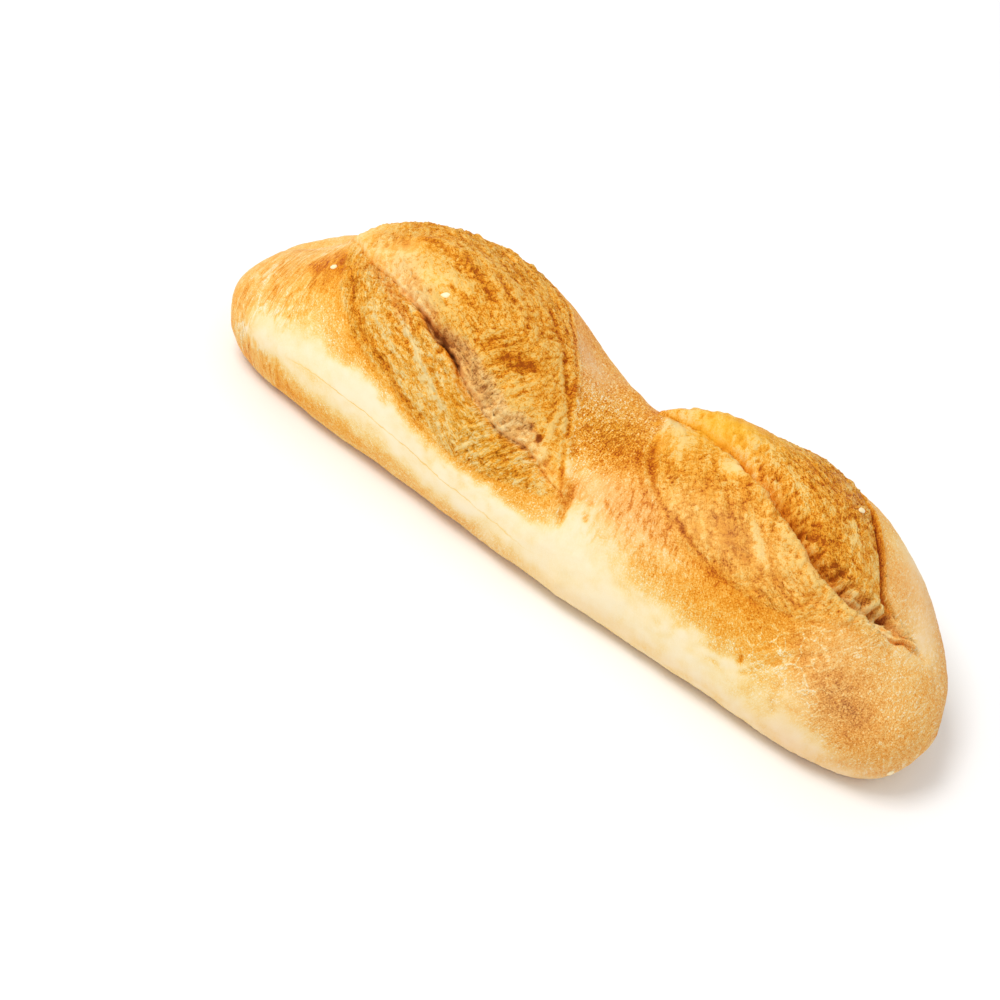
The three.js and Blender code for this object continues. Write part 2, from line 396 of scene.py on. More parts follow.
# The oven swells the dough and tears both cuts open.
rise, sideways, crumb, edge_brown, dome, band = np.zeros((6, len(x)))
torn_edge = np.full(len(x), -9.0)
on_top = (angle > 0) & (angle < 175)
for cut in CUTS:
    start, end = cut["groove"][0][0], cut["groove"][-1][0]
    inside = (x > start) & (x < end) & on_top
    openness = np.where(inside, np.sin(pi * clamp((x - start) / (end - start))), 0) ** 0.4
    groove = groove_at(cut, x)
    near = np.minimum(curve_through(cut["near_rim"], x), groove - LEAST_BAND)
    far = np.maximum(curve_through(cut["far_rim"], x), groove + LEAST_DOME)
    off_groove = off_line(lambda at: groove_at(cut, at))
    past_near = off_line(lambda at: curve_through(cut["near_rim"], at))
    before_far = -off_line(lambda at: curve_through(cut["far_rim"], at))
    depth = curve_through(cut["depth"], x) * inside
    width = curve_through(cut["width"], x)
    jag = off_groove + cut["jag"] * ragged
    # The near band climbs to a ragged lip and drops into the groove.
    on_band = inside & (angle > near) & (angle <= groove)
    t = clamp((angle - near) / (groove - near))
    wall = clamp(1 + jag / curve_through(cut["wall"], x))
    rise += on_band * openness * BAND_SWELL * np.sin(pi * t)
    rise -= on_band * depth * wall * wall * (3 - 2 * wall)
    lip = openness * ease(depth, 2.2, 4.4) * (off_groove < 0.5)
    lip_height, overhang = cut["lip"]
    rise += lip * lip_height * bell(off_groove + 2.2, 1.3) * (1 + 1.1 * ragged)
    sideways += lip * overhang * bell(jag + 1.0, 1.0)
    # The dome swells beyond it, and its low part is the paler crumb that parted last.
    on_dome = inside & (angle > groove) & (angle < far)
    t = clamp((angle - groove) / (far - groove))
    rise += on_dome * openness * cut["dome_rise"] * np.sin(pi * np.sqrt(t))
    floor_end = width * curve_through(cut["floor"], x)
    rise -= on_dome * depth * (1 - ease(jag, floor_end, width))
    low_part = 1 - ease(jag, floor_end + width * 0.2, width)
    parted_last = inside * clamp(depth / 2) * low_part * ease(jag, -1.2, 0.2)
    crumb = np.maximum(crumb, curve_through(cut["pale"], x) * parted_last)
    within = np.minimum(np.minimum(past_near, before_far), 16 * (openness - 0.4))
    torn_edge = np.maximum(torn_edge, np.where(inside, within, -9))
    dome = np.maximum(dome, on_dome * ease(off_groove, 0, 4) * openness)
    band = np.maximum(band, on_band * openness)
    # The band stands a little over the skin, with a fine brown line at its foot.
    foot = openness * inside * (angle < groove)
    rise += 0.5 * foot * ease(past_near + 0.5 * ragged, -0.6, 0.8) * (1 - ease(past_near, 3, 9))
    edge_brown += FOOT_BROWN * foot * bell(past_near + 0.5 * ragged + 0.4, 0.8)
    # A pair of thin ridges where the torn dome ends against the skin.
    ridge = inside * ease(x, *cut["ridge"])
    double = bell(before_far + 0.3 * ragged, 0.7) + 0.6 * bell(before_far - 2.1 + 0.4 * ragged, 0.7)
    rise += 0.75 * ridge * double
    edge_brown += 0.36 * ridge * bell(before_far - 1.0 + 0.4 * ragged, 0.6)

# At the right end the skin stands over the torn dome as a lip.
from_lip = off_line(lip_at)
lip_strength = ease(x, 57, 66) * (1 - ease(x, 85, 92)) * on_top
beyond = from_lip >= 0
lip_step = np.where(beyond, 0.8 * np.exp(-abs(from_lip) / 3), -1.25 * np.exp(-abs(from_lip) / 1.6))
rise += lip_strength * lip_step
sideways -= lip_strength * beyond * 0.5 * np.exp(-abs(from_lip) / 1.2)
edge_brown += 0.6 * lip_strength * bell(from_lip + 0.8 + 0.3 * ragged, 1.1)

# Uneven dough: place, angle, reach along, reach round, how far each spot stands out.
SWELLINGS = [
    (-98, 124, 9, 20, -3.2), (-84, 113, 7, 13, 2.2), (-76, 118, 6, 14, 1.5), (-66, 114, 8, 12, 0.7),
    (-46, 112, 16, 16, -2.2), (-17, 124, 8, 14, -1.6), (-3, 129, 6, 16, 2), (16, 118, 11, 16, 2),
    (36, 118, 9, 14, -1.5), (54, 112, 8, 12, -0.9), (68, 118, 7, 14, 0.5), (84, 126, 12, 22, 1.4),
    (66, 142, 8, 18, 1), (-85, -10, 12, 12, -1.2), (-6, -13, 6, 9, 0.3), (14, -15, 9, 9, 1.3),
    (48, -12, 12, 10, 0.4), (-101, -6, 4, 9, 0.8), (-28, 84, 10, 9, 0.9), (-52, 92, 9, 8, 0.6),
    (-66, 74, 6, 6, -0.6), (43, 77, 2.2, 3.2, 0.9), (28, 60, 10, 10, 0.5), (58, 46, 9, 7, 0.7),
    (73, 59, 3.5, 4, -1.5), (-3, 52, 3.5, 5, -1.5), (-2, 66, 4, 8, 0.6), (16, 70, 4, 10, 0.5),
    (-30, 34, 10, 5, 0.4),
]
rise += spread(SWELLINGS)

# And mounds and dips: middle, reach, how far each stands out.
MOUNDS = [
    ((-106, -20, 16), 14, 1.4), ((-103, -2, 28), 9, -0.9), ((-109, -10, 19), 9, -0.9),
    ((-97, 8, 26), 7, 1.3), ((-81, 8, 42), 6, -0.6), ((-63, 18, 46), 9, -0.7), ((-38, 25, 38), 9, -0.5),
    ((-21, 24, 31), 8, -0.6), ((-9, 21, 29), 7, 0.4), ((42, 22, 44), 7, -0.4), ((65, 23, 41), 5, -0.6),
    ((105, 0, 26), 9, -1.1), ((107, -20, 16), 12, 1.7), ((110, -4, 14), 8, 1),
]
for middle, reach, height in MOUNDS:
    rise += height * np.exp(-((places - middle) ** 2).sum(axis=1) / reach**2)
rise += 0.45 * grain(16, 1) + 0.2 * grain(7, 2)

# Lines left by the stretching: drawn line, half width, how far it stands out, how much browner.
CREAM_RIDGE = [(-57, 53), (-50, 47), (-44, 41), (-38, 36), (-31, 31)]
RED_STREAK = [(-76, 76), (-68, 67), (-62, 60), (-57, 54), (-52, 50)]
LINES = [
    ([(-88, 90), (-80, 74), (-73, 56), (-68, 46), (-62, 38), (-55, 33), (-48, 26), (-40, 22), (-31, 21)],
     1.8, -0.35, 0.26),
    ([(-78, 80), (-71, 64), (-64, 51), (-56, 42), (-47, 35)], 1.4, 0.45, -0.04),
    (CREAM_RIDGE, 1.1, 0.55, -0.52),
    (RED_STREAK, 1, 0.25, 0.2),
    ([(-46, 46), (-40, 40), (-35, 37)], 1, -0.2, 0.24),
    ([(-30, 37), (-22, 37), (-16, 36), (-10, 36), (-2, 40)], 1.3, -0.25, 0.18),
    ([(-22, 44), (-14, 42), (-11, 48), (-10, 54)], 1.4, 0.5, 0.14),
    # The sunk slot under the first cut's near lip, and the pinhole, are painted dark brown: painted shade
    # in them.
    ([(-53, 61), (-50, 58.5), (-47, 56.5)], 0.6, -1.2, 0.5),
    ([(-48, 57), (-44, 54.5), (-40, 52.5), (-36, 50.5)], 1.2, -2.2, 0.75),
    ([(-9.8, 60.5), (-9, 57.5)], 0.7, -2.2, 1.1),
    ([(-14, 57), (-11.5, 60), (-10, 62)], 0.8, -0.7, 0.3),
    ([(-68, 92), (-62, 91), (-57, 91), (-52, 89.5)], 1, 0.3, 0.34),
    ([(-56, 88.5), (-50, 87.5), (-45, 86)], 0.7, 0.3, 0.3),
    ([(-47, 93), (-41, 91), (-36, 88)], 0.8, -0.3, 0.26),
    ([(-50, 76), (-45, 74), (-40, 75)], 0.7, -0.4, 0.22),
    ([(-39, 105), (-30, 100), (-24, 95), (-19, 90), (-14, 84), (-10, 77)], 0.6, 0.4, -0.02),
    ([(-37, 108), (-28, 103), (-22, 98), (-17, 92), (-11, 85), (-6, 76), (-3, 68)], 0.6, -0.6, 0.34),
    ([(-34, 111), (-25, 106), (-19, 100), (-14, 94), (-9, 87)], 0.6, 0.5, 0.16),
    ([(-31, 67), (-27, 71), (-24, 74), (-21, 79)], 1.7, -0.35, 0.42),
    ([(-33, 64), (-29, 69), (-26, 76), (-23, 82)], 1, 0.4, 0),
    ([(-33, 88), (-30, 84), (-29, 79)], 0.9, -0.3, 0.24),
    ([(-62, 91), (-55, 88), (-48, 85), (-40, 83)], 1.5, -0.25, 0.2),
    ([(-66, 104), (-58, 101), (-50, 100), (-42, 103)], 1.4, -0.2, 0.16),
    ([(-84, 98), (-76, 92), (-68, 92), (-60, 95)], 1.2, 0.3, 0.12),
    ([(-82, 88), (-74, 82), (-66, 80), (-60, 80)], 1.5, 0.3, -0.12),
    ([(-13, 90), (-8, 78), (-4, 69), (1, 59), (4, 52)], 0.9, 0.4, -0.22),
    ([(-15, 97), (-12, 88), (-8, 80)], 0.7, -0.3, 0.25),
    ([(4.5, 54), (6.2, 46), (6.8, 38), (7.5, 30), (8, 23)], 0.7, -0.9, 0.26),
    ([(2, 52), (4, 44), (4.6, 36), (5.6, 28)], 1.5, 0.8, 0.06),
    ([(12, 96), (15, 84), (18, 74), (22, 65), (28, 56), (34, 47)], 0.6, -0.7, 0.28),
    ([(10, 92), (12.5, 82), (15.5, 73), (20, 63), (26, 53)], 0.6, -0.5, 0.26),
    ([(11, 95), (13.5, 84), (16.8, 74), (21, 64), (27, 54)], 0.7, 0.6, -0.1),
    ([(10, 117), (14, 107), (19, 96), (23, 89)], 1.5, 0.3, -0.2),
    ([(32, 92), (34, 88), (37, 84)], 2, 0.4, -0.26),
    ([(39, 87), (41, 81), (43, 75)], 1.2, 0.5, 0.26),
    ([(30, 55), (37, 48), (41, 44), (46, 41)], 0.8, -0.6, 0.36),
    ([(61, 54), (66, 51), (72, 52)], 1.1, -0.3, 0.24),
    ([(46, 71), (49, 67), (52, 62), (56, 57), (60, 53)], 1.2, 0.5, -0.42),
    ([(54, 72), (60, 67), (66, 63), (70, 60)], 1.2, 0.35, -0.06),
    ([(77, 75), (80, 76), (84, 79)], 0.9, 0.3, 0.1),
    ([(84, 84), (86, 87), (88, 90)], 0.8, -0.8, 0.05),
    ([(91, 84), (92.5, 90), (96, 97), (99.5, 106)], 0.7, -0.8, 0.12),
    ([(65, 15.5), (65.2, 12), (65, 10)], 0.7, -0.5, 0.5),
    ([(66, 5), (68, 9), (71, 17), (74, 24)], 0.7, -0.2, 0.12),
    ([(57, 3), (59, 4), (61, 2)], 0.8, -0.2, 0.12),
    ([(75, 13), (77, 14)], 0.9, -0.2, 0.12),
    ([(76, 6), (77.5, 2), (78, -3)], 0.9, -0.25, 0.12),
    ([(68, 20), (72, 28), (76, 37), (79, 46)], 0.8, 0.35, -0.1),
    ([(71, 20), (75, 29), (79, 39), (83, 50)], 0.8, -0.25, 0.1),
    ([(-86, 32), (-82, 36), (-80, 42)], 0.9, -0.15, 0.14),
    ([(12, 38), (13, 35), (14, 33)], 0.7, -0.25, 0.14),
    ([(12.5, -6), (14.5, -8.5), (13, -11)], 0.8, 0.35, 0.05),
]
lines_browning_and_shade = edge_brown
for line, width, height, browner in LINES:
    drawn = stroke(line, width)
    rise += height * drawn
    lines_browning_and_shade = lines_browning_and_shade + browner * drawn * (1 + 0.7 * knobs + 0.7 * pits)

# The way the crust was drawn out: place, angle, and the lean of its streaks, from 0 along the
# loaf to 90 straight up round it.
LEANS = [
    (-104, 60, -90), (-92, 100, -70), (-90, 50, -68), (-80, 80, -48), (-78, 30, -62), (-68, 95, -50),
    (-68, 45, -42), (-55, 110, 5), (-55, 85, -28), (-55, 35, -30), (-45, 60, -25), (-38, 95, -35),
    (-38, 38, -35), (-28, 66, 50), (-26, 105, -56), (-18, 70, 76), (-16, 42, 50), (-12, 105, -75),
    (-8, 80, -72), (0, 95, -76), (2, 50, 75), (4, 75, -66), (12, 40, -82), (12, 90, -62), (22, 60, -50),
    (22, 95, -52), (28, 38, -72), (36, 80, -60), (38, 100, -35), (42, 50, -42), (52, 100, -10),
    (50, 75, -60), (52, 35, -72), (58, 60, -50), (64, 110, 75), (64, 85, -28), (66, 45, 10),
    (72, 100, -62), (76, 60, 30), (80, 90, -65), (82, 70, 45), (84, 35, 70), (95, 60, 90), (96, 110, -88),
    (104, 40, -88), (-60, 150, 70), (0, 150, 90), (60, 150, -75),
]
level, upright = np.full(len(x), 1e-6), np.zeros(len(x))
for place, turn, lean in LEANS:
    nearby = spot_at(place, turn, 11, 17)
    level += nearby * cos(radians(2 * lean))
    upright += nearby * sin(radians(2 * lean))
lean = np.degrees(np.arctan2(upright, level)) / 2
STREAK_WAYS = (-80, -50, -25, 60)
shares = np.array([bell((lean - way + 90) % 180 - 90, 17) for way in STREAK_WAYS])
shares /= shares.sum(axis=0)

# Torn crumb is lumpy and full of opened bubbles, with fibres along its streaks. Skin is finely
# wrinkled along them.
under_lip = (from_lip > 0) & (lip_strength > 0.2)
torn_edge = np.where(under_lip, np.minimum(torn_edge, -4 * from_lip), torn_edge)
torn = ease(torn_edge + 2.2 * ragged * (1 - lip_strength * (from_lip > -3)), -2.5, 2.5)
warp = 0.35 * knobs
fibres, folds, long_streaks = np.zeros((3, len(x)))
curls = abs(grain(1.6, 31)) ** 0.7 * 1.8 - 0.7
for share, way in zip(shares, STREAK_WAYS):
    run = x * cos(radians(way)) + girth * sin(radians(way))
    off = girth * cos(radians(way)) - x * sin(radians(way))
    fibres += share * (abs(drawn_grain(run / 11, off / 2.4 + warp, way)) ** 0.7 * 1.6 - 0.8)
    fibres += 0.5 * share * drawn_grain(run / 6, off / 1.2 + warp, way + 5)
    folds += share * bell(drawn_grain(run / 12, off / 2.6 + warp, way + 9), 0.10)
    long_streaks += share * drawn_grain(run / 15, off / 1.7 + warp, way + 3)
wide_pits = open_crumb(x / 3.4 + warp, girth / 3.0 + pits * 0.2, 3.0) - 0.4
small_pits = open_crumb(x / 1.9 + warp, girth / 1.7, 8.0) - 0.4
drawn_out = 0.6 * fibres - 0.4 * folds + 0.3 * (1 - 0.5 * ease(x, 10, 40)) * curls
relief = 0.35 * lumps + 0.2 * knobs + 0.2 * pits + drawn_out + 0.25 * wide_pits + 0.25 * small_pits

# Where the crust stayed smooth: place, angle, reach along, reach round, how smooth.
CALM = [
    (-70, 84, 8, 7, 0.9), (-56, 74, 8, 5, 0.7), (-84, 98, 7, 10, 0.5), (28, 112, 12, 14, 0.8),
    (36, 87, 4, 5, 0.9), (3, 68, 5, 12, 0.8), (16, 98, 8, 14, 0.5), (50, 80, 10, 5, 0.3),
    (62, 30, 16, 12, 0.4), (44, 56, 20, 14, 0.5),
]
calm = 0.0
for place, turn, reach, reach_turn, amount in CALM:
    calm = np.maximum(calm, amount * spot_at(place, turn, reach, reach_turn))
rugged = 1 - clamp(calm + 0.25 * lumps * (calm > 0.05))
crumb_relief = 0.75 * small_pits + 0.7 * wide_pits + 0.4 * fibres + 0.3 * lumps
relief = relief * (0.25 + 0.75 * rugged) + crumb * crumb_relief
stretch = clamp(band * (1 - 0.7 * ease(x, 10, 24)) + dome * (0.45 + 0.4 * ease(x, 20, 40)) + 0.2)
wrinkled = 0.8 * spot_at(22, 44, 18, 22) + 0.3 * spot_at(84, 40, 16, 26) + 0.3 * ease(-x, 70, 84)
skin_relief = 0.10 * grain(2.6, 7) + 0.06 * pits + 0.10 * fibres - 0.22 * clamp(wrinkled) * folds
rise += torn * relief + (1 - torn) * skin_relief

# What lies deeper than the crust around it: its hollows and fine valleys are painted darker and browner,
# as painted shade.
pairs = np.empty(2 * len(loaf.data.edges), int)
loaf.data.edges.foreach_get("vertices", pairs)
one, other = pairs.reshape(-1, 2).T
meeting = np.bincount(pairs)


def settled(values, times):
    """Values evened out with those of the neighbouring points."""
    for _ in range(times):
        around = np.bincount(one, values[other], len(x)) + np.bincount(other, values[one], len(x))
        values = (values + around / meeting) / 2
    return values


hollow_shade = clamp(settled(rise, 16) - rise, -0.6, 1.5) * (1 - 0.7 * clamp(crumb))
valley_shade = clamp(settled(rise, 3) - rise, -0.1, 0.4)

# How brown the crust is: from 0, pale and floury, to 1, dark, with painted shade in its hollows and
# valleys
#  added further down. Near and far flank stay pale up to an angle, and fade into gold below and above it.
PALE_TOP = [
    (-105, 36), (-96, 34), (-80, 27), (-66, 24), (-56, 22), (-42, 17), (-20, 15), (-4, 16), (8, 24),
    (20, 24), (32, 16), (46, 16), (60, 14), (72, 16), (83, 13), (92, 3), (106, -6),
]
PALE_FADE = [
    (-110, 16), (-84, 16), (-70, 10), (-58, 5), (-30, 5), (0, 9), (16, 16), (34, 14), (50, 8), (66, 13),
    (80, 21), (95, 18), (110, 14),
]
LOWER_GOLD = [
    (-110, 0.32), (-94, 0.34), (-84, 0.24), (-74, 0.26), (-64, 0.44), (-50, 0.52), (-30, 0.5),
    (-10, 0.44), (2, 0.36), (10, 0.16), (20, 0.2), (32, 0.32), (44, 0.46), (58, 0.52), (70, 0.44),
    (80, 0.36), (90, 0.5), (98, 0.6), (106, 0.48), (110, 0.4),
]
UPPER_GOLD = [
    (-110, 0.34), (-94, 0.4), (-84, 0.48), (-70, 0.5), (-20, 0.56), (-8, 0.6), (6, 0.66), (16, 0.6),
    (30, 0.45), (70, 0.4), (80, 0.34), (95, 0.32), (110, 0.36),
]
LEFT_END_BAKE = 0.33
RIGHT_END_BAKE = 0.42
TORN_BAKE = 0.47
wander = 4 * grain(10, 11) + 3 * grain(4, 12) + 1.5 * ragged
from_side = np.minimum(angle, 180 - angle)
higher = ease(from_side + wander, 34, 62)
gold = curve_through(LOWER_GOLD, x) * (1 - higher) + curve_through(UPPER_GOLD, x) * higher
pale_top = curve_through(PALE_TOP, x) + wander
fade = curve_through(PALE_FADE, x)
browning_and_shade = 0.02 + gold * ease(from_side, pale_top - fade, pale_top + fade)
underside = ease(-from_side + 0.6 * wander, 3, 16)
browning_and_shade += underside * (0.06 + 0.22 * (1 - ease(x, -25, 20)))
browning_and_shade += 0.3 * ease(-from_side, 22, UNDERSIDE_TURN)
browning_and_shade += (LEFT_END_BAKE - browning_and_shade) * ease(-x, 88, 102)
browning_and_shade += (RIGHT_END_BAKE - browning_and_shade) * ease(x, 90, 104) * ease(from_side, -22, -4)
browning_and_shade += (TORN_BAKE - 0.04 * band - browning_and_shade) * ease(torn_edge + 3 * ragged, -5, 5)

# Where the oven browned the crust more (+) or less (-). The darker spots in the valley beside the second
# cut's
#  groove (59 to 70 along, 76 to 77 round) and in the first cut's hollow (-31 to -28 along, 50 to 51 round)
#  are painted shade, under the lip and in the hollow.
PATCHES = [
    (-104, 12, 3, 14, 0.08), (-100, 40, 6, 8, 0.06), (-92, 62, 4, 10, 0.06), (-90, 96, 6, 8, -0.12),
    (-86, -7, 8, 6, 0.14), (-86, 74, 5, 10, 0.18), (-86, 74, 5, 8, 0.08), (-84, 69, 6, 6, 0.14),
    (-84, 100, 8, 10, -0.18), (-82, -12, 12, 9, 0.26), (-74, 108, 5, 8, 0.14), (-72, 5, 9, 3, 0.1),
    (-60, 76, 12, 5, -0.3), (-58, -12, 16, 7, 0.16), (-56, -4, 12, 5, 0.1), (-55, 110, 14, 6, 0.1),
    (-51, 68, 5, 5, -0.12), (-50, 52, 5, 4, 0.08), (-50, 68, 9, 4, -0.2), (-50, 95, 30, 30, -0.05),
    (-46, 57, 5, 4, 0.12), (-46, 90, 10, 8, -0.06), (-40, 32, 6, 5, -0.1), (-38, 26, 22, 9, -0.06),
    (-35, 84, 9, 5, 0.1), (-34, 24, 8, 5, -0.06), (-34, 52, 8, 5, 0.12), (-33, 26, 10, 6, -0.12),
    (-31, 50, 6, 4, 0.14), (-30, 76, 12, 10, 0.06), (-29, 51, 5, 3.5, 0.12), (-29, 94, 8, 6, -0.06),
    (-28, 50, 4, 3, 0.08), (-24, 74, 6, 4, 0.12), (-22, 37, 9, 6, -0.07), (-22, 92, 6, 6, 0.14),
    (-19, 30, 6, 4, 0.15), (-19, 50, 6, 5, -0.14), (-14, 116, 12, 10, -0.14), (-12, 46, 4, 5, 0.06),
    (-12, 108, 12, 20, -0.16), (-9, 75, 5, 8, -0.06), (-8, 74, 5, 12, -0.16), (-7, 42, 4, 4, -0.14),
    (-2, 92, 10, 20, -0.18), (2, 110, 5, 12, -0.14), (4, 66, 4, 10, -0.3), (5, 94, 6, 16, 0.14),
    (11, 36, 5, 14, -0.16), (11, 58, 7, 9, -0.42), (12, 104, 5, 9, -0.26), (14, 35, 5, 6, 0.06),
    (18, 62, 7, 9, -0.12), (24, 74, 7, 8, 0.16), (25, 76, 8, 8, 0.08), (28, 50, 9, 12, -0.1),
    (30, 30, 8, 8, 0.05), (30, 32, 12, 8, -0.14), (36, 86, 3.5, 4, -0.08), (40, 34, 6, 6, -0.06),
    (40, 36, 7, 5, -0.08), (40, 36, 7, 6, -0.13), (42, 46, 7, 3, 0.06), (42, 56, 16, 12, 0.12),
    (42, 62, 8, 8, 0.08), (44, 38, 8, 6, 0.08), (44, 55, 24, 14, 0.06), (47, 38, 8, 5, 0.18),
    (50, 44, 10, 5, 0.06), (50, 92, 8, 7, 0.16), (56, 98, 8, 6, -0.07), (57, 34, 9, 6, 0.1),
    (57, 52, 8, 6, 0.08), (58, 50, 7, 5, 0.05), (58, 57, 5, 6, 0.07), (59, 77, 6, 4, 0.1),
    (62, 76, 8, 5, 0.14), (62, 98, 20, 14, 0.08), (62, 106, 12, 6, 0.02), (64, 77, 14, 6, 0.26),
    (66, 2, 12, 8, 0.06), (66, 34, 7, 7, 0.12), (66, 72, 4, 5, -0.14), (72, 41, 5, 5, 0.08),
    (69, 97, 5, 6, 0.1), (70, 76, 5, 4, 0.3), (70, 108, 10, 10, 0.08), (74, 2, 8, 8, 0.08),
    (74, 60, 3, 5, -0.05), (74, 104, 5, 7, -0.1), (74, 116, 5, 6, -0.12), (76, 96, 4, 5, -0.28),
    (77, 38, 7, 10, 0.14), (80, 130, 8, 14, -0.1), (80, 134, 12, 18, -0.2), (81, 78, 4, 5, -0.36),
    (86, 44, 5, 14, 0.06), (87, 87, 5, 7, -0.3), (88, 34, 6, 12, 0.16), (93, 42, 9, 24, 0.14),
    (94, 32, 5, 12, 0.08), (97, 110, 8, 26, -0.26), (98, 8, 6, 12, 0.08), (98, 34, 5, 14, 0.16),
    (103, 60, 6, 24, -0.12),
]
browning_and_shade += spread(PATCHES) + lines_browning_and_shade
browning_and_shade += (1 - torn) * clamp(wrinkled) * 0.16 * folds + torn * 0.12 * folds
streaky = (0.24 + 0.2 * dome * ease(x, 10, 30)) * (1 - 0.5 * calm) * long_streaks
browning_and_shade += torn * (0.10 * lumps + 0.22 * grain(8, 21) + streaky)
# Painted shade: hollows, and the fine valleys of torn crumb, are painted darker and browner.
browning_and_shade += (0.10 + 0.22 * torn) * hollow_shade + 0.6 * torn * valley_shade
browning_and_shade += (1 - torn) * gold * (0.16 * grain(6, 22) + 0.14 * grain(2.4, 23))

# The blush turns the gold towards beige-pink (+) or towards yellow (-).
SKIN_BLUSH = [(-18, 114, 11, 18, 1.1), (24, 46, 18, 20, 0.75), (43, 78, 4, 8, 0.5), (88, 124, 14, 24, 0.6)]
BLUSH = [(14, 106, 4, 7, 0.5), (2, 94, 9, 14, -0.3), (10, 56, 8, 10, 0.35)]
YELLOW = [(-22, 36, 14, 10, 0.25), (27, 108, 14, 12, 0.9), (60, 98, 16, 14, -0.1)]
blush = spread(SKIN_BLUSH) + 0.4 * ease(-from_side, 2, 14) * ease(x, -60, -10)
blush += 0.42 * ease(x, 70, 84) + 0.25 * ease(-x, 80, 96)
blush = blush * (1 - 0.8 * torn) + 0.5 * stroke(RED_STREAK, 1.6) + 0.15 * stroke(CREAM_RIDGE, 1.4)
blush += spread(BLUSH) - torn * (0.12 + spread(YELLOW))

# A thin crease runs low along the near flank, where the skin slackened.
CREASE = [(-84, 5), (-72, 7), (-60, 6), (-40, 3.5), (-20, 0.5), (-8, -1.8), (4, -3)]
crease = (angle - curve_through(CREASE, x)) * per_degree
crease_share = clamp(np.minimum(x + 82, 6 - x) / 16) * (0.6 + 0.4 * knobs) * (angle < 60)

# How grainy the whole skin is: hardly on the flour-pale flanks, most of all on the waist.
waist = np.maximum(spot_at(-4, 96, 22, 34), 0.3 * spot_at(24, 46, 18, 22))
left_end = ease(-x, 74, 88)
most = 0.6 - 0.25 * spot_at(22, 46, 15, 18) + 0.7 * waist - 0.2 * left_end + 0.2 * ease(x, 78, 92)
grainy = 0.05 + most * ease(browning_and_shade, 0.04, 0.36)
creased = 0.04 + ease(browning_and_shade, 0.06, 0.3) * (0.3 - 0.1 * left_end)

# Finer marks of the skin: thin rings at the left end, crackling by the waist, and a net of raised
#  lines at the right end. Flaky crust is on the domes. Tan crust is paler and greyer: the crumb and a
#  patch of the second band have that colour, and on the right end the grey tan is painted shade.
rings = left_end * ease(browning_and_shade, 0.04, 0.2) * (1 - ease(angle, 95, 130)) * (1 - 0.8 * ease(-x, 99, 107))
CRACKLED = [(26, 44, 19, 20, 1.4), (2, 84, 12, 22, 0.8), (84, 40, 14, 26, 0.3)]
crackled = clamp(spread(CRACKLED)) * ease(browning_and_shade, 0.06, 0.3)
flaky = dome * (1 - 0.5 * ease(x, 10, 40)) + 0.9 * band * ease(x, 10, 24)
web = spot_at(80, 30, 18, 28) * ease(browning_and_shade, 0.15, 0.35)
tan_and_end_shade = clamp(0.65 * spot_at(90, 34, 13, 30) + 0.45 * torn * spot_at(44, 55, 26, 16) + crumb)

# Every point moves outwards, and sideways over the skin towards the far flank.
over_skin = np.stack([np.zeros(len(x)), outward[:, 2], -outward[:, 1]], axis=1)
places += outward * rise[:, None] + over_skin * sideways[:, None]
places[:, 2] = np.maximum(places[:, 2], 0)
loaf.data.vertices.foreach_set("co", (places * MM).ravel())
loaf.data.update()

# The crust's colours and finish read these from the surface.
NOTES = {
    "torn": torn, "crease": clamp(crease, -3, 3), "browning_and_shade": browning_and_shade, "blush": blush, "grainy": grainy,
    "creased": creased, "rugged": rugged, "stretch": stretch, "web": web, "rings": rings,
    "crackled": crackled, "flaky": flaky, "tan_and_end_shade": tan_and_end_shade, "crease_share": crease_share,
}
for name, values in NOTES.items():
    loaf.data.attributes.new(name, "FLOAT", "POINT").data.foreach_set("value", values.astype(np.float32))
skin_map = np.stack([x, girth, 0 * x], axis=1)
for name, vectors in (("skin_map", skin_map), ("streak_shares", shares[:3].T)):
    drawn = loaf.data.attributes.new(name, "FLOAT_VECTOR", "POINT").data
    drawn.foreach_set("vector", vectors.astype(np.float32).ravel())
select_only(loaf)
bpy.ops.object.shade_smooth()


def join(socket, value):
    if isinstance(value, (int, float, tuple)):
        socket.default_value = value
    else:
        links.new(value, socket)


def new_node(kind, sockets, **settings):
    """A node of the material or group in hand, set up, with each socket set or linked."""
    made = nodes.new("ShaderNode" + kind)
    for name, setting in settings.items():
        setattr(made, name, setting)
    for name, value in sockets.items():
        join(made.inputs[name], value)
    return made


def math(operation, *values, limit=False):
    return new_node("Math", dict(enumerate(values)), operation=operation, use_clamp=limit).outputs[0]


def total(*parts):
    """The sum of values, each given alone or as (value, weight)."""
    result = 0.0
    for part in parts:
        if isinstance(part, tuple):
            result = math("MULTIPLY_ADD", *part, result)
        else:
            result = math("ADD", result, part)
    return result


def step(value, start, end):
    sockets = {"Value": value, "From Min": start, "From Max": end}
    return new_node("MapRange", sockets, interpolation_type="SMOOTHSTEP").outputs["Result"]


def attribute(name, output="Fac"):
    return new_node("Attribute", {}, attribute_name=name).outputs[output]


def noise_at(vector, scale, detail=3.0, rough=0.55, warp=0.0):
    """Noise between -0.5 and 0.5."""
    sockets = {"Vector": vector, "Scale": scale, "Detail": detail, "Roughness": rough, "Distortion": warp}
    return math("SUBTRACT", new_node("TexNoise", sockets).outputs["Fac"], 0.5)


def lines_on(value, fineness):
    """1 on thin lines where the value crosses zero."""
    return step(math("ABSOLUTE", value), fineness, 0.0)


